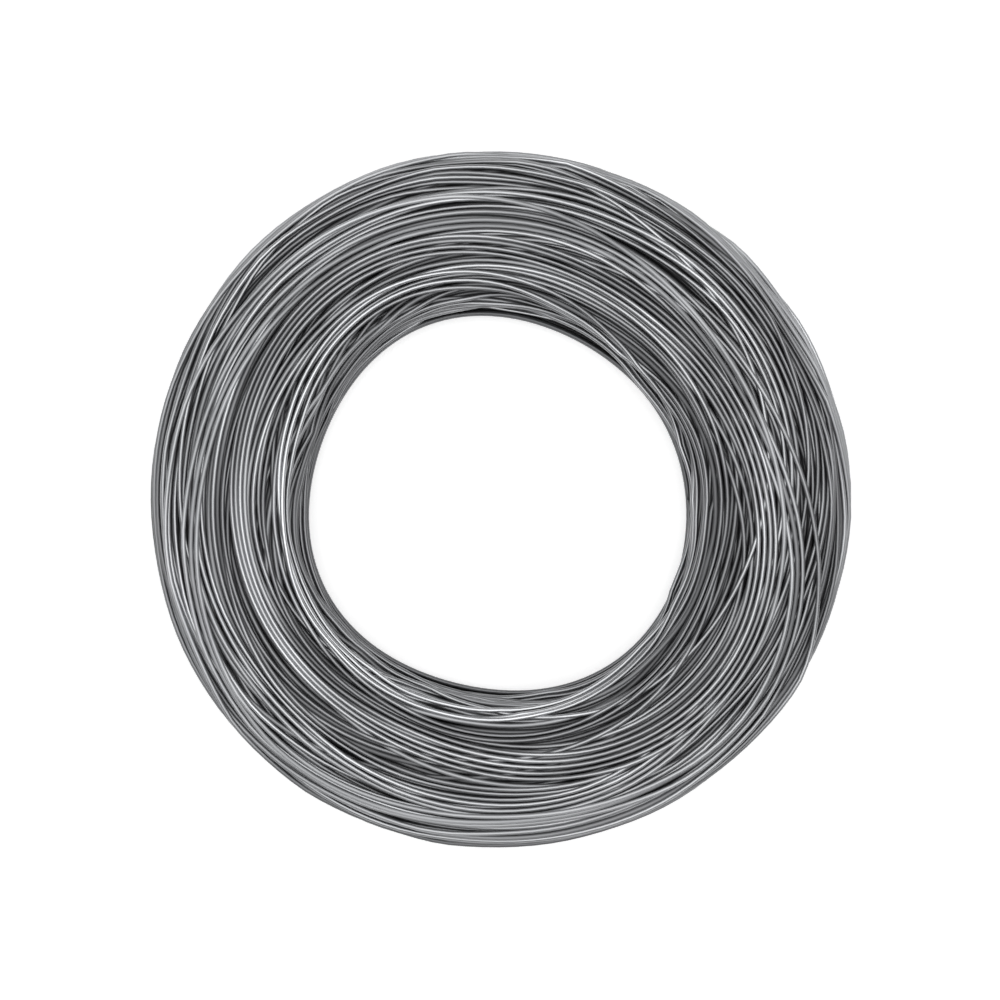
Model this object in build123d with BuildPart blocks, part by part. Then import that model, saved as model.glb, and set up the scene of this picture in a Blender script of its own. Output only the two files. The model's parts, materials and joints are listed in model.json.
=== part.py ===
from build123d import *
import math
import os

# A coil of steel wire rod lying flat, in millimetres.
# It is one turned solid about +Z, with the eye through its middle and the floor at Z = 0.

# The wire, and how many of its turns show side by side between the eye and the outer edge
wire_diameter = 5.5
turns_showing = 28

# The ring
outer_radius = 410
eye_radius = 220
coil_height = 130

# The rounded top of the bundle: two shoulders and the crown between them, all tangent
crown_radius = 210
inner_shoulder_radius = 44
outer_shoulder_radius = 50

# The slack edges where the bundle lies on the floor
inner_heel_width = 16
inner_heel_height = 24
outer_heel_width = 20
outer_heel_height = 28


# The crown turns by the same angle either side of its top, and the shoulders turn the rest of the way to upright
shoulders = inner_shoulder_radius + outer_shoulder_radius
crown_lean = math.asin((outer_radius - eye_radius - shoulders) / (2 * crown_radius - shoulders))
shoulder_turn = 90 - math.degrees(crown_lean)
crown_rise = crown_radius * (1 - math.cos(crown_lean))
inner_side_top = coil_height - crown_rise - inner_shoulder_radius * math.cos(crown_lean)

with BuildLine() as top_line:
    inner_shoulder = JernArc((eye_radius, inner_side_top), (0, 1), inner_shoulder_radius, -shoulder_turn)
    crown = JernArc(inner_shoulder @ 1, inner_shoulder % 1, crown_radius, -2 * math.degrees(crown_lean))
    JernArc(crown @ 1, crown % 1, outer_shoulder_radius, -shoulder_turn)
over_the_top = top_line.wire()


# A point of the section: share of the way over the top, and depth below it
def below_top(share, depth):
    along = over_the_top % share
    inward = Vector(along.Y, -along.X)
    return over_the_top @ share + inward * depth


# Each turn shows as a ridge, and the groove between two turns is as deep as half the wire
groove_depth = wire_diameter / 2
ridges = [below_top(0, 0)]
for turn in range(turns_showing):
    ridges.append(below_top((turn + 0.5) / turns_showing, 0))
    is_last = turn == turns_showing - 1
    ridges.append(below_top((turn + 1) / turns_showing, 0 if is_last else groove_depth))


with BuildPart() as wire_coil:
    with BuildSketch(Plane.XZ):
        with BuildLine():
            turned_end = Polyline(*ridges)
            Polyline(
                turned_end @ 1,
                (outer_radius, outer_heel_height),
                (outer_radius - outer_heel_width, 0),
                (eye_radius + inner_heel_width, 0),
                (eye_radius, inner_heel_height),
                turned_end @ 0,
            )
        make_face()
    revolve(axis=Axis.Z)
wire_coil.part.label = "wire_coil"

os.makedirs("parts", exist_ok=True)
export_step(wire_coil.part, "parts/wire_coil.step")
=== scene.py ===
import bpy
import json
import math
import numpy as np
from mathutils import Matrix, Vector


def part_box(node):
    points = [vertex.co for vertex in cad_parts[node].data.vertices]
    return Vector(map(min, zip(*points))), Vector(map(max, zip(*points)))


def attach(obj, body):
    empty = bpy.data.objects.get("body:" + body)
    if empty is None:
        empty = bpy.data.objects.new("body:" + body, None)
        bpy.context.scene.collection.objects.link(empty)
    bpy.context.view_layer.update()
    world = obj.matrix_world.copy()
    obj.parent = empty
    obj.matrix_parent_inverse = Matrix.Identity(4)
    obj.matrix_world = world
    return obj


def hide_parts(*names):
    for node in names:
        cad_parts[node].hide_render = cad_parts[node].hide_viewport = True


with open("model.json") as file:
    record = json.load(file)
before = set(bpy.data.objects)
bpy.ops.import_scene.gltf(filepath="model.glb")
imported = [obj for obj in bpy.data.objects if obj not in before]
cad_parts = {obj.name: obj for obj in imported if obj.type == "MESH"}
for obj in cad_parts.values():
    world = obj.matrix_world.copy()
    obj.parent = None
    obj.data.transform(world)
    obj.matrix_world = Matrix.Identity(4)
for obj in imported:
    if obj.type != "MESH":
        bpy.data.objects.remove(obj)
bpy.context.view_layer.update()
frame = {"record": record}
print("frame loaded")

# The coil's own sizes in metres: three from the frame and its record, and those of its section
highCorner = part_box("wire_coil")[1]
eyeMount = next(mount for mount in frame["record"]["mounts"] if mount["name"] == "eye")
coil = {
    "outerRadius": highCorner.x,
    "eyeRadius": eyeMount["dims"]["r_mm"] / 1000,
    "height": highCorner.z,
    "crownRadius": 0.210,
    "innerShoulder": 0.044,
    "outerShoulder": 0.050,
    "innerHeel": (0.016, 0.024),  # width and height of the slack edge at the floor
    "outerHeel": (0.020, 0.028),
    "cornerRounding": 0.006,
    "tightRim": 0.025,  # the turns this near the rim are drawn in to fit the box
    "tightTop": 0.030,  # and those this near the top
}

# How far the eye and the rim are from round: waves in a turn, height in metres and where the first
# crest is in degrees. With no waves in a turn, the height moves the whole edge outward.
eyeWaves = [(0, 0.0020, 0), (1, 0.0079, -112), (2, 0.0046, -39), (3, 0.0033, -29), (4, 0.0028, 28)]
rimWaves = [(1, 0.0020, -134), (2, 0.0031, -32), (3, 0.0027, -13)]

wire = {
    "diameter": 0.0055,
    "sides": 10,
    "steps": 128,  # stretches in a turn
    "turnsAPiece": 64,  # at most
}

# How the wire is laid, in metres. The piled turns run along a line well inside the outline of the
# coil's section, at a height above it. The line is cut into cells, and a turn into steps.
laying = {
    "seed": 4,
    "floorGap": 1.02,  # from turn to turn on the floor, in wire diameters
    "floorFoot": 0.041,  # those turns go up both walls to this height
    "floorWander": 0.0003,
    "floorWanderings": 4,  # in a turn
    "floorWaves": 0.0035,  # all of them sway together by this much
    "floorDepth": 2,  # how deep they count as lying, in wire diameters, which gives them the painted shade of deep turns
    "turns": 166,  # about this many are piled on those
    "lineDepth": 0.020,
    "startHeight": -0.0085,
    "mostBend": 25,  # of the line, in radians a metre, as far as it sets how neighbours part
    "bendSoftness": 6,  # in cells
    "bendHeights": (-0.012, 0.020),  # the heights over which it does so
    "heightSoftness": 4,  # in steps
    "headroom": 0.0020,  # sought between the highest turns and the outline
    "ceilingWeight": 10,
    "outsideWeight": 2,
    "wallFoot": 0.036,  # the piled turns keep about this far above the floor
    "groupTurns": (2, 6),
    "tailRoom": 0.030,  # the end of the wire lies this near the foot of a wall, where it hardly shows
    "tuck": 0.014,  # and it is pushed in between the others by this much
    "fan": (0.10, 0.35, 0.92),  # gaps in a group, in wire diameters: added, their spread and the least
    "fanChanges": 3,  # in a turn
    "waves": (0.025, 0.008, 0.003, 0.001),  # of a turn, once round, twice round and so on
    "reach": 0.090,  # how far from the last group the next one may be sent
    "change": (0.7, 1.0),  # part of a turn that the wire takes to cross to the next group
    "pressing": 0.005,  # a place this much higher counts 2.7 times as much
    "pull": 1.0,  # towards a place by chance
    "stiffness": 0.3,  # against moving along the line
    "offers": 12,  # groups that are tried
    "nudges": 80,  # small changes that are tried on the best of them
    "nudgeMove": 0.002,
    "nudgeShape": 0.15,  # of those waves, as the usual change
    "levelness": 0.5,  # how much the highest place counts against the mean
    "sag": 0.0003,  # between the places where a wire touches, times the steps squared
    "sink": 0.0002,  # of a wire into a sharp bump
    "slideRounds": 10,
    "slideStep": 0.0008,  # the most in a round
    "slideMost": 0.0040,
    "slideProbe": 0.0012,  # how far to both sides the slope is felt
    "pushSoftness": 8,  # in steps
    "slideSoftness": 3,
    "window": (24, 32),  # steps before and after a turn that it is settled with
    "surfaceSoftness": (30, 6),  # cells along the line and steps round the coil
}


# Points at even spacing along a closed line
def evenly(line, count=1200):
    closed = np.vstack([line, line[:1]])
    run = np.concatenate([[0], np.cumsum(np.linalg.norm(np.diff(closed, axis=0), axis=1))])
    wanted = np.arange(count) * run[-1] / count
    return np.stack([np.interp(wanted, run, closed[:, axis]) for axis in (0, 1)], 1)


def headings(line):
    along = np.roll(line, -1, 0) - np.roll(line, 1, 0)
    return along / np.linalg.norm(along, axis=1, keepdims=True)


def leftOf(along):
    return np.stack([-along[:, 1], along[:, 0]], 1)


# A running mean with soft ends, over values in a row or round a closed line
def softened(values, width, closed=False):
    reach = 3 * width
    weights = np.exp(-0.5 * (np.arange(-reach, reach + 1) / width) ** 2)
    weights /= weights.sum()
    if closed:
        longer = np.concatenate([values[-reach:], values, values[:reach]])
    else:
        longer = np.concatenate([np.full(reach, values[0]), values, np.full(reach, values[-1])])
    return np.convolve(longer, weights, "valid")


# The section of the coil as a closed line, at a depth inside its outline: up the eye's wall, over
# the top, down the rim and back along the floor
def sectionLine(inset):
    shoulders = coil["innerShoulder"] + coil["outerShoulder"]
    betweenShoulders = coil["outerRadius"] - coil["eyeRadius"] - shoulders
    lean = math.asin(betweenShoulders / (2 * coil["crownRadius"] - shoulders))
    crownRise = coil["crownRadius"] * (1 - math.cos(lean))
    wallTop = coil["height"] - crownRise - coil["innerShoulder"] * math.cos(lean)
    fine = 0.0005
    points = []

    def runTo(end):
        start = points[-1]
        count = max(2, int(math.dist(start, end) / fine))
        for k in range(1, count + 1):
            share = k / count
            points.append((start[0] + (end[0] - start[0]) * share, start[1] + (end[1] - start[1]) * share))

    def arcOn(heading, radius, turn):  # to the right of the heading
        start = points[-1]
        middle = (start[0] + radius * math.sin(heading), start[1] - radius * math.cos(heading))
        count = max(2, int(radius * turn / fine))
        for k in range(1, count + 1):
            angle = heading - turn * k / count
            points.append((middle[0] - radius * math.sin(angle), middle[1] + radius * math.cos(angle)))
        return heading - turn

    points.append((coil["eyeRadius"] + coil["innerHeel"][0], 0))
    runTo((coil["eyeRadius"], coil["innerHeel"][1]))
    runTo((coil["eyeRadius"], wallTop))
    heading = arcOn(math.pi / 2, coil["innerShoulder"], math.pi / 2 - lean)
    heading = arcOn(heading, coil["crownRadius"], 2 * lean)
    arcOn(heading, coil["outerShoulder"], math.pi / 2 - lean)
    runTo((coil["outerRadius"], coil["outerHeel"][1]))
    runTo((coil["outerRadius"] - coil["outerHeel"][0], 0))
    runTo(points[0])
    place = evenly(np.array(points[:-1]))
    width = round(coil["cornerRounding"] / np.linalg.norm(place[1] - place[0]))
    place = evenly(np.stack([softened(place[:, axis], width, closed=True) for axis in (0, 1)], 1))
    place = evenly(place - leftOf(headings(place)) * inset)
    along = headings(place)
    step = np.linalg.norm(np.roll(place, -1, 0) - place, axis=1).mean()
    turning = -np.gradient(np.unwrap(np.arctan2(along[:, 1], along[:, 0]))) / step
    bend = softened(np.clip(turning, -laying["mostBend"], laying["mostBend"]), laying["bendSoftness"])
    return {"place": place, "along": along, "outward": leftOf(along), "step": step, "bend": bend}


# The line that the piled turns are laid along, and the part of it between the feet of the two walls
pileLine = sectionLine(laying["lineDepth"])
cells = len(pileLine["place"])
aboveFoot = np.nonzero(pileLine["place"][:, 1] > laying["wallFoot"])[0] * pileLine["step"]
eyeFoot, rimFoot = aboveFoot[0], aboveFoot[-1]
ceiling = laying["lineDepth"] - wire["diameter"] / 2 - laying["headroom"]

# How high the next wire would rest, at each angle and in each cell of the line
surface = np.full((wire["steps"], cells), laying["startHeight"])


def nearestCell(course):
    return np.round(course / pileLine["step"]).astype(int) % cells


# The cells on both sides of a course, and how far it is on its way from one to the other
def besideCells(course):
    where = course / pileLine["step"] % cells
    low = where.astype(int)
    return low, (low + 1) % cells, where - low


def restingOn(course, at):
    low, high, share = besideCells(course)
    return surface[at, low] * (1 - share) + surface[at, high] * share


# Where a wire's middle is in the section, from its course along the line and its height above it
def inSection(course, height):
    low, high, share = besideCells(course)
    share = share[:, None]
    place = pileLine["place"][low] * (1 - share) + pileLine["place"][high] * share
    outward = pileLine["outward"][low] * (1 - share) + pileLine["outward"][high] * share
    return place + outward * height[:, None]


# A wire that has been laid raises the surface beside it
def raiseSurface(course, at, centre):
    beside = 40  # cells on each side
    near = (nearestCell(course)[:, None] + np.arange(-beside, beside + 1)) % cells
    apart = centre[:, None] - pileLine["place"][near]
    across = (apart * pileLine["along"][near]).sum(2)
    above = (apart * pileLine["outward"][near]).sum(2)
    room = wire["diameter"] ** 2 - across**2
    contact = np.where(room > 0, above + np.sqrt(np.maximum(room, 0)), -1)
    surface[at[:, None], near] = np.maximum(surface[at[:, None], near], contact)


# A wire pulled over bumps touches the high ones and spans the rest
def spannedOver(heights):
    step = np.arange(len(heights))
    bowed = (heights - laying["sag"] * step**2).tolist()
    touching = []
    for k in range(len(bowed)):
        while len(touching) > 1:
            a, b = touching[-2], touching[-1]
            if (bowed[b] - bowed[a]) * (k - a) > (bowed[k] - bowed[a]) * (b - a):
                break
            touching.pop()
        touching.append(k)
    return np.interp(step, touching, np.array(bowed)[touching]) + laying["sag"] * step**2


# The same, with its corners softened twice over
def pulledOver(heights):
    spanned = spannedOver(heights)
    for _ in range(2):
        softer = spanned.copy()
        softer[1:-1] = 0.25 * spanned[:-2] + 0.5 * spanned[1:-1] + 0.25 * spanned[2:]
        spanned = np.maximum(softer, heights - laying["sink"])
    return spanned


# A free stretch of wire slides off the ridges and into the grooves beside its course
def slidAside(course, at, slide, free):
    slide = slide.copy()
    slide[free] = slide[~free][-1]
    probe = laying["slideProbe"]
    for _ in range(laying["slideRounds"]):
        up = restingOn(course + slide + probe, at)
        down = restingOn(course + slide - probe, at)
        lean = np.clip((up - down) / (2 * probe), -1, 1)
        push = softened(-lean * laying["slideStep"], laying["pushSoftness"])
        slide[free] = np.clip(slide[free] + push[free], -laying["slideMost"], laying["slideMost"])
        slide[free] = softened(slide, laying["slideSoftness"])[free]
    return slide


# Smooth chance values along the wire
def wandering(chance, count, spacing):
    knots = chance.normal(0, 1, count // spacing + 3)
    where = np.arange(count) / spacing
    low = where.astype(int)
    share = where - low
    share = share * share * (3 - 2 * share)
    return knots[low] * (1 - share) + knots[low + 1] * share


# Smooth chance values that meet again after a turn
def closedWaves(chance, count):
    most = 4  # waves in a turn
    divisor = 1.7  # for a spread of about 0.7
    angle = 2 * np.pi * np.arange(count) / count
    sizes = chance.normal(0, 1, (most, 2)) / np.arange(1, most + 1)[:, None]
    waves = [a * np.cos(k * angle) + b * np.sin(k * angle) for k, (a, b) in enumerate(sizes, 1)]
    return sum(waves) / divisor


def easing(count):
    share = (np.arange(count) + 1) / (count + 1)
    return share * share * (3 - 2 * share)


# A cosine and a sine for each wave of a turn: once round, twice round and so on
def waveForms(angle):
    rounds = range(1, len(laying["waves"]) + 1)
    return np.array([form(k * angle) for k in rounds for form in (np.cos, np.sin)])


def swings(shape, at):
    return shape @ waveForms(2 * np.pi * at / wire["steps"])


# The course of a group: a crossing from the last one, a first turn, and turns beside it that fan
# out and close up
def groupCourse(offer, planned, carried, fans):
    steps = wire["steps"]
    start = planned + len(carried)
    added, spread, least = laying["fan"]
    gap = offer["side"] * wire["diameter"] * np.maximum(least, 1 + added + spread * fans)
    count = offer["turns"]
    course = np.zeros(count * steps)
    course[:steps] = offer["middle"] + swings(offer["shape"], start + np.arange(steps))

    def beside(one, k):
        part = np.arange(k * steps, (k + 1) * steps)
        height = softened(restingOn(one, (start + part) % steps), laying["heightSoftness"])
        closer = pileLine["bend"][nearestCell(one)] * np.clip(height, *laying["bendHeights"])
        return one + gap[part] / (1 + closer)

    if count > 1:
        course[:steps] += (beside(course[:steps], 1)[0] - course[0]) * np.arange(steps) / steps
    for k in range(1, count):
        course[k * steps : (k + 1) * steps] = beside(course[(k - 1) * steps : k * steps], k)
    ease = easing(len(carried))
    lead = offer["middle"] + swings(offer["shape"], planned + np.arange(len(carried)))
    return np.concatenate([carried * (1 - ease) + lead * ease, course])


# How badly a run lies: high, uneven or through the ceiling
def badness(rest):
    over = np.maximum(rest - ceiling, 0)
    level = rest.mean(-1)
    uneven = laying["levelness"] * (rest.max(-1) - level)
    return level + uneven + laying["ceilingWeight"] * over.mean(-1) + over.max(-1)


# The lowest way round the coil for a group, step by step, and the swings nearest to it
def lowestWay(chance, last, turns, side, low, high):
    every, wide, most = 2, 3, 4  # steps, cells and the most that the way moves in one of its own steps
    barred = 1e9
    cell = pileLine["step"] * wide
    pressing = np.exp(surface[::every, ::wide] / laying["pressing"])
    first = math.ceil(low / cell)
    width = turns * wire["diameter"] * (1 + laying["fan"][0])
    band = max(1, round(width / cell))
    whole = np.cumsum(pressing[:, first : int(high / cell)], 1)
    cost = (whole[:, band:] - whole[:, :-band]) / band
    middles = low + (np.arange(cost.shape[1]) + band / 2) * cell
    target = np.clip(last + laying["reach"] * chance.uniform(-1, 1), low, high)
    cost = cost * (1 + laying["pull"] * np.abs(middles - target) / laying["reach"])
    rounds = np.concatenate([cost, cost])
    total = rounds[0]
    came = []
    moves = np.arange(-most, most + 1)
    bending = laying["stiffness"] * (moves / most) ** 2
    for row in rounds[1:]:
        padded = np.pad(total, most, constant_values=barred)
        ways = np.stack([padded[most + move : most + move + len(total)] for move in moves])
        ways += bending[:, None] * row.mean()
        chosen = ways.argmin(0)
        came.append(chosen)
        total = row + ways[chosen, np.arange(len(total))]
    place = int(total.argmin())
    way = [place]
    for chosen in reversed(came):
        place += moves[chosen[place]]
        way.append(place)
    way = low + np.array(way[: len(cost)][::-1]) * cell
    angle = 2 * np.pi * np.arange(len(way)) * every / wire["steps"]
    shape = np.array([2 * (way * form).mean() for form in waveForms(angle)])
    return {"middle": way.mean() + (width if side < 0 else 0), "shape": shape, "side": side, "turns": turns}


# The best of some groups that follow the lowest ways, changed a little where that helps it lie low
def bestGroup(chance, planned, last, carried, sizes, low, high):
    fans = wandering(chance, (sizes[1] + 1) * wire["steps"], wire["steps"] // laying["fanChanges"])
    best, bestValue = None, 1  # worse than any group

    def weigh(offer):
        nonlocal best, bestValue
        run = groupCourse(offer, planned, carried, fans)
        turned = run[len(carried) :]
        outside = max(0, low - turned.min(), turned.max() - high)
        rest = spannedOver(restingOn(run, (planned + np.arange(len(run))) % wire["steps"]))
        value = badness(rest) + laying["outsideWeight"] * outside
        if value < bestValue:
            best, bestValue = dict(offer, run=run), value

    for _ in range(laying["offers"]):
        turns = int(chance.integers(sizes[0], sizes[1] + 1))
        weigh(lowestWay(chance, last, turns, chance.choice([-1, 1]), low, high))
    change = laying["nudgeShape"] * np.repeat(laying["waves"], 2)
    for _ in range(laying["nudges"]):
        moved = best["middle"] + chance.normal(0, laying["nudgeMove"])
        weigh(dict(best, middle=moved, shape=best["shape"] + chance.normal(0, 1, len(change)) * change))
    return best["run"]


# The first turns, side by side: down the eye's wall, across the floor and up the rim's wall
def layFloor(chance):
    steps = wire["steps"]
    floorLine = sectionLine(wire["diameter"] / 2)
    place = floorLine["place"]
    whole = len(place) * floorLine["step"]
    foot = np.nonzero(place[:, 1] > laying["floorFoot"])[0] * floorLine["step"]
    length = foot[0] + whole - foot[-1]
    turns = round(length / (wire["diameter"] * laying["floorGap"]))
    count = turns * steps
    where = foot[0] - length * np.arange(count) / count
    where += laying["floorWander"] * wandering(chance, count, steps // laying["floorWanderings"])
    where += laying["floorWaves"] * np.tile(closedWaves(chance, steps), turns)
    cell = np.arange(len(place)) * floorLine["step"]
    centre = np.stack([np.interp(where % whole, cell, place[:, axis]) for axis in (0, 1)], 1)
    nearest = np.linalg.norm(centre[:, None] - pileLine["place"][None], axis=2).argmin(1)
    return centre, nearest * pileLine["step"]


# One turn comes to rest in the grooves of those below it
def settleTurn(turn, course, slide, height, laid):
    steps = wire["steps"]
    before, ahead = laying["window"]
    span = np.arange(turn * steps - before, (turn + 1) * steps + ahead)
    at = span % steps
    free = span >= turn * steps
    slide[span] = slidAside(course[span], at, slide[span], free)
    slid = course[span] + slide[span]
    rest = restingOn(slid, at)
    rest[~free] = height[span[~free]]
    height[span] = pulledOver(rest)
    centre = inSection(slid, height[span])
    keep = free & (span < (turn + 1) * steps)
    laid[span[keep]] = centre[keep]
    raiseSurface(slid[keep], at[keep], centre[keep])


# The whole wire, step by step: where its middle is in the section, its group, and how deep it lies,
# in wire diameters
def layWire():
    chance = np.random.default_rng(laying["seed"])
    steps = wire["steps"]
    onFloor, floorCourse = layFloor(chance)
    planned = len(onFloor)
    done = planned // steps
    turns = done + laying["turns"]
    spareTurns = 20  # room for the last groups
    course = np.zeros((turns + spareTurns) * steps)
    height = np.zeros(len(course))
    slide = np.zeros(len(course))
    group = np.zeros(len(course), int)
    laid = np.zeros((len(course), 2))
    laid[:planned] = onFloor
    course[:planned] = floorCourse
    course[planned - steps : planned] = rimFoot
    height[planned - steps : planned] = laying["lineDepth"] - wire["diameter"] / 2

    # Groups are planned one at a time, and their turns settle as soon as enough is planned after
    # them. The last group is a single turn at the foot of the nearer wall.
    last, number = rimFoot, 0
    ending = False
    while not ending:
        number += 1
        ending = done >= turns
        crossing = int(chance.uniform(*laying["change"]) * steps)
        lastTurn = course[planned - steps : planned]
        carried = lastTurn[:crossing] + lastTurn[-1] - course[planned - 1 - steps]
        if number == 1:
            carried = np.full(crossing, rimFoot)
        if ending:
            tail = eyeFoot if last - eyeFoot < rimFoot - last else rimFoot - laying["tailRoom"]
            run = bestGroup(chance, planned, tail, carried, (1, 1), tail, tail + laying["tailRoom"])
        else:
            run = bestGroup(chance, planned, last, carried, laying["groupTurns"], eyeFoot, rimFoot)
        course[planned : planned + len(run)] = run
        group[planned : planned + len(run)] = number
        planned += len(run)
        last = course[planned - steps : planned].mean()
        ahead = laying["window"][1]
        if ending:
            course[planned : planned + 2 * steps] = course[planned - 1]
            ahead = 0
        while planned >= (done + 1) * steps + ahead:
            settleTurn(done, course, slide, height, laid)
            done += 1
    settleTurn(done, course, slide, height, laid)
    print("turns", round(planned / steps, 1), "groups", number)

    # The last third of a turn is pushed in
    tucked = np.arange(planned - steps // 3, planned)
    height[tucked] -= laying["tuck"] * easing(len(tucked))
    laid[tucked] = inSection((course + slide)[tucked], height[tucked])

    wide, along = laying["surfaceSoftness"]
    level = np.array([softened(row, wide, closed=True) for row in surface])
    level = np.array([softened(row, along, closed=True) for row in level.T]).T
    cell = nearestCell((course + slide)[:planned])
    depth = (level[np.arange(planned) % steps, cell] - height[:planned]) / wire["diameter"]
    depth[: len(onFloor)] = laying["floorDepth"]
    return laid[:planned], group[:planned], depth


section, groupOf, depthOf = layWire()
print("wire laid")


# The ring isn't quite round: the eye and the rim each have their own waves, shared out across the band
def outOfRound(radius, angle):
    share = np.clip((radius - coil["eyeRadius"]) / (coil["outerRadius"] - coil["eyeRadius"]), 0, 1)
    shift = 0
    for waves, part in ((eyeWaves, 1 - share), (rimWaves, share)):
        for count, height, crest in waves:
            shift = shift + part * height * np.cos(count * (angle - math.radians(crest)))
    return radius + shift


# Values past a level are drawn in, the farthest ones most, so that the farthest comes to the limit
def drawnIn(values, level, farthest, limit):
    knee = 4  # the larger it is, the nearer to the limit the values are left as they are
    far, room = farthest - level, limit - level
    if far <= room:
        return values
    over = np.maximum(values - level, 0)
    tightness = ((far / room) ** knee - 1) / far**knee
    return np.minimum(values, level) + over / (1 + tightness * over**knee) ** (1 / knee)


# The line through the middle of the wire, two directions across it and its length so far. It has to
# stay in the box along the axes, where the box is closest.
def wireLine():
    angle = 2 * np.pi * np.arange(len(section)) / wire["steps"]
    wireRadius = wire["diameter"] / 2
    radius = outOfRound(section[:, 0], angle)
    farthest = (radius * np.maximum(abs(np.cos(angle)), abs(np.sin(angle)))).max()
    rim = coil["outerRadius"]
    radius = drawnIn(radius, rim - coil["tightRim"], farthest, rim - wireRadius)
    top = coil["height"]
    height = drawnIn(section[:, 1], top - coil["tightTop"], section[:, 1].max(), top - wireRadius)
    middle = np.stack([radius * np.cos(angle), radius * np.sin(angle), height], 1)
    along = np.gradient(middle, axis=0)
    stretch = np.linalg.norm(along, axis=1, keepdims=True)
    along /= stretch
    side = np.cross(along, (0, 0, 1))
    side /= np.linalg.norm(side, axis=1, keepdims=True)
    return middle, side, np.cross(side, along), np.cumsum(stretch)


# The map has a row for each turn, and a row for the two end caps
def mapWire(mesh, rings):
    sides, steps = wire["sides"], wire["steps"]
    margin = 0.1  # of a row, at its top and bottom
    filled = 1 - 2 * margin
    rows = (rings - 2) // steps + 2
    row = np.repeat(np.arange(rings - 1) // steps, sides)
    start = np.repeat(np.arange(rings - 1) % steps, sides) / steps
    end = start + 1 / steps
    band = np.tile(np.arange(sides), rings - 1)
    low = (row + margin + filled * band / sides) / rows
    high = (row + margin + filled * (band + 1) / sides) / rows
    quads = np.stack([start, low, end, low, end, high, start, high], 1).reshape(-1, 2)
    angle = 2 * np.pi * np.arange(sides) / sides
    cap = np.stack([np.cos(angle), np.sin(angle)], 1) * (0.5 - margin) / rows
    caps = [cap + (middle / rows, 1 - 0.5 / rows) for middle in (0.5, 1.5)]
    bakeMap = mesh.uv_layers.new(name="OFBake", do_init=False)
    bakeMap.uv.foreach_set("vector", np.vstack([quads, *caps]).astype(np.float32).ravel())


# A round tube along a run of the wire, made from arrays, with closed ends
def wireMesh(name, first, last, look):
    middle, side, up, run = [values[first : last + 1] for values in wholeWire]
    sides = wire["sides"]
    rings = len(middle)
    turn = 2 * np.pi * (np.arange(sides) + 0.5) / sides
    across = np.cos(turn)[None, :, None] * side[:, None] + np.sin(turn)[None, :, None] * up[:, None]
    corners = middle[:, None] + across * wire["diameter"] / 2
    ring = np.arange(rings - 1)[:, None] * sides
    corner = np.arange(sides)[None]
    after = (corner + 1) % sides
    quads = np.stack([ring + corner, ring + sides + corner, ring + sides + after, ring + after], 2)
    quads = quads.reshape(-1, 4)
    startCap = np.arange(sides)
    endCap = (rings - 1) * sides + np.arange(sides)[::-1]
    starts = np.append(np.arange(len(quads)) * 4, [quads.size, quads.size + sides])
    mesh = bpy.data.meshes.new(name)
    mesh.vertices.add(rings * sides)
    mesh.vertices.foreach_set("co", corners.ravel())
    mesh.loops.add(quads.size + 2 * sides)
    mesh.loops.foreach_set("vertex_index", np.concatenate([quads.ravel(), startCap, endCap]))
    mesh.polygons.add(len(quads) + 2)
    mesh.polygons.foreach_set("loop_start", starts)
    mesh.polygons.foreach_set("use_smooth", np.append(np.ones(len(quads), bool), [False, False]))
    mesh.update(calc_edges=True)

    # Each corner's place along and across the wire, and its look
    place = mesh.attributes.new("wirePlace", "FLOAT_VECTOR", "POINT")
    coat = np.stack([
        np.repeat(run, sides),
        np.tile(np.cos(turn), rings) * wire["diameter"] / 2,
        np.tile(np.sin(turn), rings) * wire["diameter"] / 2,
    ], 1)
    place.data.foreach_set("vector", coat.ravel())
    shade = mesh.attributes.new("wireLook", "FLOAT_VECTOR", "POINT")
    shade.data.foreach_set("vector", np.repeat(look[first : last + 1], sides, axis=0).ravel())
    mapWire(mesh, rings)
    mesh.validate()
    piece = bpy.data.objects.new(name, mesh)
    bpy.context.scene.collection.objects.link(piece)
    return piece


finish = {
    "tone": (0.6, 0.7),  # spread from group to group and along the wire
    "dullness": (0.7, 0.9),
    "changes": 2,  # in a turn
    "blend": 8,  # one group's look becomes the next one's over about an eighth of a turn
    # Painted shade and light at parts of the way from the eye to the rim: darkest at the eye's wall,
    # lightest over the outer part of the top
    "shadeAcrossBand": ((0.0, 0.12, 0.3, 0.75, 1.0), (-1.8, -0.6, 0.3, 0.4, 0.2)),
    "aroundCoil": 0.50,
    "patches": (0.045, 0.070, 0.110),  # lighter and darker places, this far apart across the band
    "patchTone": 0.9,
    "lightest": 1.2,  # no wire is lighter
    "shiniest": -0.8,  # or less dull than this
    "depths": (-1, 3),  # in wire diameters, counted no further than these
}


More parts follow.
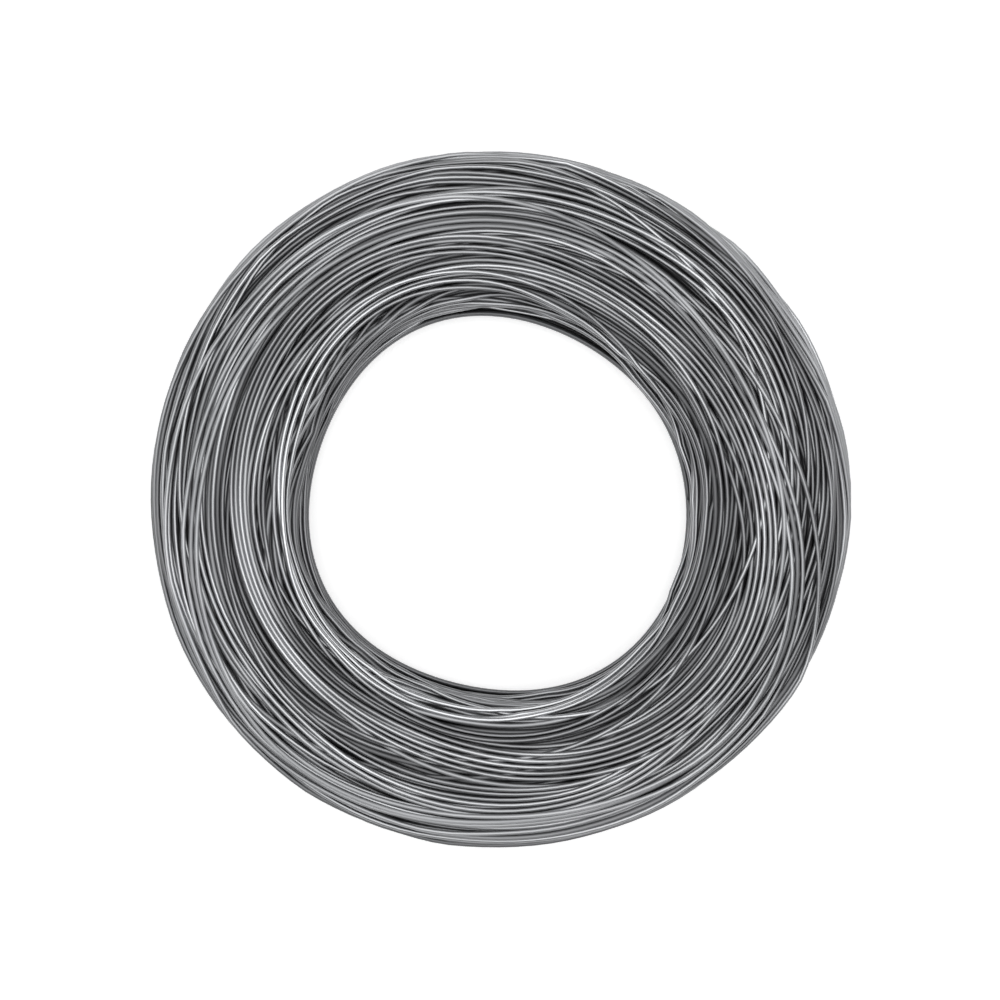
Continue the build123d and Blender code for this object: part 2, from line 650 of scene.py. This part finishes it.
# How light, how dull and how deep the wire is: by group, slowly along it, and by its place in the coil. The
# lightness holds painted shade and light across the band, and the depth later darkens deep turns as painted
# shade.
def lookAlong():
    chance = np.random.default_rng(laying["seed"] + 1)
    steps = wire["steps"]
    count = len(groupOf)
    looks = []
    for ofGroup, ofTurn in (finish["tone"], finish["dullness"]):
        byGroup = chance.normal(0, ofGroup, groupOf.max() + 1)[groupOf]
        along = wandering(chance, count, steps // finish["changes"])
        looks.append(softened(byGroup, steps // finish["blend"]) + ofTurn * along)
    tone, dullness = looks
    share = (section[:, 0] - coil["eyeRadius"]) / (coil["outerRadius"] - coil["eyeRadius"])
    # painted shade and light across the band, darkest at the eye's wall
    tone += np.interp(share, *finish["shadeAcrossBand"])
    at = np.arange(count) % steps
    tone += finish["aroundCoil"] * closedWaves(chance, steps)[at]
    for width in finish["patches"]:
        across = np.cos(2 * np.pi * section[:, 0] / width + chance.uniform(0, 2 * np.pi))
        tone += finish["patchTone"] * closedWaves(chance, steps)[at] * across
    tone = np.minimum(tone, finish["lightest"])
    dullness = np.maximum(dullness, finish["shiniest"])
    return np.stack([tone, dullness, np.clip(depthOf, *finish["depths"])], 1)


def buildWire():
    look = lookAlong()
    last = len(section) - 1
    count = math.ceil(len(section) / wire["steps"] / wire["turnsAPiece"])
    ends = [round(k * last / count) for k in range(count + 1)]
    return [wireMesh(f"wire_run_{k + 1}", ends[k], ends[k + 1], look) for k in range(count)]


wholeWire = wireLine()
pieces = buildWire()
print("wire built:", len(pieces), "pieces,", round(float(wholeWire[3][-1])), "m")


# The turns deep inside the pile, as one plain ring that shuts off the light between the turns that show
hiddenTurns = {
    "sideDepth": 0.036,
    "topDepth": 0.042,
    "lift": 0.9,  # above the floor, in wire diameters
    "corner": 0.016,
    "cornerSteps": 5,
    "around": 128,
}


def buildHiddenTurns():
    bpy.ops.object.select_all(action="DESELECT")
    low = coil["eyeRadius"] + hiddenTurns["sideDepth"]
    high = coil["outerRadius"] - hiddenTurns["sideDepth"]
    top = coil["height"] - hiddenTurns["topDepth"]
    floor = wire["diameter"] * hiddenTurns["lift"]
    middle = ((low + high) / 2, 0, (floor + top) / 2)
    bpy.ops.mesh.primitive_plane_add(size=1, location=middle, rotation=(math.pi / 2, 0, 0))
    ring = bpy.context.object
    ring.name = "hidden_turns"
    ring.scale = (high - low, top - floor, 1)
    bpy.ops.object.transform_apply(location=True, rotation=True, scale=True)
    bpy.ops.object.mode_set(mode="EDIT")
    bpy.ops.mesh.select_all(action="SELECT")
    bpy.ops.mesh.bevel(offset=hiddenTurns["corner"], segments=hiddenTurns["cornerSteps"], affect="VERTICES")
    bpy.ops.mesh.delete(type="ONLY_FACE")
    bpy.ops.mesh.select_all(action="SELECT")
    bpy.ops.mesh.spin(steps=hiddenTurns["around"], angle=2 * math.pi, center=(0, 0, 0), axis=(0, 0, 1))
    bpy.ops.mesh.select_all(action="SELECT")
    bpy.ops.mesh.remove_doubles(threshold=0.0001)
    bpy.ops.mesh.normals_make_consistent(inside=False)
    bpy.ops.mesh.faces_shade_smooth()
    bpy.ops.object.mode_set(mode="OBJECT")
    return ring


hiddenRing = buildHiddenTurns()
print("hidden turns built:", len(hiddenRing.data.polygons), "faces")


def newMaterial(name):
    material = bpy.data.materials.new(name)
    material.use_nodes = True
    nodes = material.node_tree.nodes
    return material, nodes, material.node_tree.links, nodes["Principled BSDF"]


# The shader's colour goes from one to another with a factor
def setColour(nodes, links, shader, factor, one, other):
    colour = nodes.new("ShaderNodeMix")
    colour.data_type = "RGBA"
    colour.inputs["A"].default_value = one
    colour.inputs["B"].default_value = other
    links.new(factor, colour.inputs["Factor"])
    links.new(colour.outputs["Result"], shader.inputs["Base Color"])


# A pattern drawn out along the wire, as a mask
def drawnOut():
    group = bpy.data.node_groups.new("drawnOut", "ShaderNodeTree")
    group.interface.new_socket("Place", in_out="INPUT", socket_type="NodeSocketVector")
    group.interface.new_socket("Along", in_out="INPUT", socket_type="NodeSocketFloat")
    group.interface.new_socket("Across", in_out="INPUT", socket_type="NodeSocketFloat")
    group.interface.new_socket("Mask", in_out="OUTPUT", socket_type="NodeSocketFloat")
    nodes, links = group.nodes, group.links
    given = nodes.new("NodeGroupInput")
    out = nodes.new("NodeGroupOutput")
    scale = nodes.new("ShaderNodeCombineXYZ")
    links.new(given.outputs["Along"], scale.inputs["X"])
    links.new(given.outputs["Across"], scale.inputs["Y"])
    links.new(given.outputs["Across"], scale.inputs["Z"])
    sized = nodes.new("ShaderNodeVectorMath")
    sized.operation = "MULTIPLY"
    links.new(given.outputs["Place"], sized.inputs[0])
    links.new(scale.outputs["Vector"], sized.inputs[1])
    noise = nodes.new("ShaderNodeTexNoise")
    noise.inputs["Scale"].default_value = 1
    noise.inputs["Detail"].default_value = 3
    links.new(sized.outputs["Vector"], noise.inputs["Vector"])
    links.new(noise.outputs["Fac"], out.inputs["Mask"])
    return group


steel = {
    "dark": (0.18, 0.182, 0.188, 1),
    "bright": (0.62, 0.63, 0.645, 1),
    "middle": 0.5,  # between those two, before anything moves it
    "toneStrength": 0.20,
    # painted shade: a turn is coloured darker the deeper it lies among the others
    "paintedDepthShade": -0.18,
    "clouds": (4, 70, 0.35),  # how fine along and across the wire, and how strong
    "lines": (5, 2400, 0.30),
    "lineHeight": 0.00002,
    "lineBump": 0.5,
    "roughness": (0.24, 0.68),
    "dullStart": 0.25,  # between those two
    "dullStrength": 0.22,
    "dullClouds": 0.4,
    "dullDepth": 0.08,
}


# A value moved up or down by others, each with its strength
def movedBy(nodes, links, start, parts):
    level = None
    for value, strength in parts:
        added = nodes.new("ShaderNodeMath")
        added.operation = "MULTIPLY_ADD"
        added.inputs[1].default_value = strength
        links.new(value, added.inputs[0])
        if level:
            links.new(level, added.inputs[2])
        else:
            added.inputs[2].default_value = start
        level = added.outputs["Value"]
    return level


def steelMaterial():
    material, nodes, links, shader = newMaterial("drawnSteel")
    shader.inputs["Metallic"].default_value = 1
    place = nodes.new("ShaderNodeAttribute")
    place.attribute_name = "wirePlace"
    look = nodes.new("ShaderNodeAttribute")
    look.attribute_name = "wireLook"
    looks = nodes.new("ShaderNodeSeparateXYZ")
    links.new(look.outputs["Vector"], looks.inputs["Vector"])
    tone, dullness, depth = looks.outputs
    group = drawnOut()
    masks = []
    for along, across, _ in (steel["clouds"], steel["lines"]):
        pattern = nodes.new("ShaderNodeGroup")
        pattern.node_tree = group
        pattern.inputs["Along"].default_value = along
        pattern.inputs["Across"].default_value = across
        links.new(place.outputs["Vector"], pattern.inputs["Place"])
        masks.append(pattern.outputs["Mask"])
    clouds, lines = masks

    # Both masks are about 0.5 on average, so half of their strengths is taken off first
    cloudStrength, lineStrength = steel["clouds"][2], steel["lines"][2]
    # Painted shade: the colour's level is lowered where a turn lies deep
    level = movedBy(nodes, links, steel["middle"] - 0.5 * (cloudStrength + lineStrength), (
        (tone, steel["toneStrength"]),
        (depth, steel["paintedDepthShade"]),
        (clouds, cloudStrength),
        (lines, lineStrength),
    ))
    setColour(nodes, links, shader, level, steel["dark"], steel["bright"])
    dull = movedBy(nodes, links, steel["dullStart"], (
        (dullness, steel["dullStrength"]),
        (clouds, steel["dullClouds"]),
        (depth, steel["dullDepth"]),
    ))
    rough = nodes.new("ShaderNodeMapRange")
    rough.inputs["To Min"].default_value = steel["roughness"][0]
    rough.inputs["To Max"].default_value = steel["roughness"][1]
    links.new(dull, rough.inputs["Value"])
    links.new(rough.outputs["Result"], shader.inputs["Roughness"])
    bump = nodes.new("ShaderNodeBump")
    bump.inputs["Strength"].default_value = steel["lineBump"]
    bump.inputs["Distance"].default_value = steel["lineHeight"]
    links.new(lines, bump.inputs["Height"])
    links.new(bump.outputs["Normal"], shader.inputs["Normal"])
    return material


# Painted shade: the plain ring's steel is coloured nearly black, for the shade deep inside the pile
shadedSteel = {
    "dark": (0.02, 0.02, 0.022, 1),
    "light": (0.08, 0.08, 0.085, 1),
    "noiseScale": 30,
    "roughness": 0.5,
}


def hiddenMaterial():
    material, nodes, links, shader = newMaterial("shadedSteel")
    shader.inputs["Metallic"].default_value = 1
    shader.inputs["Roughness"].default_value = shadedSteel["roughness"]
    place = nodes.new("ShaderNodeTexCoord")
    noise = nodes.new("ShaderNodeTexNoise")
    noise.inputs["Scale"].default_value = shadedSteel["noiseScale"]
    links.new(place.outputs["Object"], noise.inputs["Vector"])
    setColour(nodes, links, shader, noise.outputs["Fac"], shadedSteel["dark"], shadedSteel["light"])
    return material


drawnSteel = steelMaterial()
for piece in pieces:
    piece.data.materials.append(drawnSteel)
hiddenRing.data.materials.append(hiddenMaterial())
for piece in pieces + [hiddenRing]:
    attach(piece, "root")
    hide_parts("wire_coil")
print("steel on")


# Floor, light and camera
stage = {
    "floorSize": 60,
    "floorDrop": 0.0005,  # below the coil
    "floorColour": (0.95, 0.95, 0.95, 1),
    "floorRoughness": 0.9,
    "floorSpecular": 0.1,
    "floorGlow": 0.40,  # seen by the camera and in reflections only
    "worldStrength": 0.35,
    "lampHeight": 3.2,
    "lampSize": 4.0,
    "lampPower": 94,
    "lens": 85,
    "coilShare": 0.7025,  # of the picture's width
}


def setFloor():
    bpy.ops.object.select_all(action="DESELECT")
    bpy.ops.mesh.primitive_plane_add(size=stage["floorSize"], location=(0, 0, -stage["floorDrop"]))
    floor = bpy.context.object
    floor.name = "floor"
    material, nodes, links, shader = newMaterial("paleFloor")
    shader.inputs["Base Color"].default_value = stage["floorColour"]
    shader.inputs["Roughness"].default_value = stage["floorRoughness"]
    shader.inputs["Specular IOR Level"].default_value = stage["floorSpecular"]
    path = nodes.new("ShaderNodeLightPath")
    seen = path.outputs["Is Camera Ray"]
    for ray in ("Is Glossy Ray", "Is Transmission Ray"):
        both = nodes.new("ShaderNodeMath")
        both.operation = "MAXIMUM"
        links.new(seen, both.inputs[0])
        links.new(path.outputs[ray], both.inputs[1])
        seen = both.outputs["Value"]
    links.new(seen, shader.inputs["Emission Color"])
    shader.inputs["Emission Strength"].default_value = stage["floorGlow"]
    floor.data.materials.append(material)


def setLight():
    world = bpy.data.worlds.new("plainWorld")
    world.use_nodes = True
    background = world.node_tree.nodes["Background"]
    background.inputs["Color"].default_value = (1, 1, 1, 1)
    background.inputs["Strength"].default_value = stage["worldStrength"]
    bpy.context.scene.world = world
    bpy.ops.object.light_add(type="AREA", location=(0, 0, stage["lampHeight"]))
    lamp = bpy.context.object
    lamp.name = "overheadLamp"
    lamp.data.shape = "DISK"
    lamp.data.size = stage["lampSize"]
    lamp.data.energy = stage["lampPower"]


# Straight above, so far from the middle of the coil's height that the coil fills its share
def setCamera():
    camera = bpy.data.cameras.new("camera")
    camera.lens = stage["lens"]
    holder = bpy.data.objects.new("camera", camera)
    bpy.context.scene.collection.objects.link(holder)
    viewWidth = 2 * coil["outerRadius"] / stage["coilShare"]
    distance = viewWidth * camera.lens / camera.sensor_width
    holder.location = (0, 0, distance + coil["height"] * 0.5)
    bpy.context.scene.camera = holder


setFloor()
setLight()
setCamera()
bpy.context.scene.view_settings.view_transform = "Standard"
print("stage set")
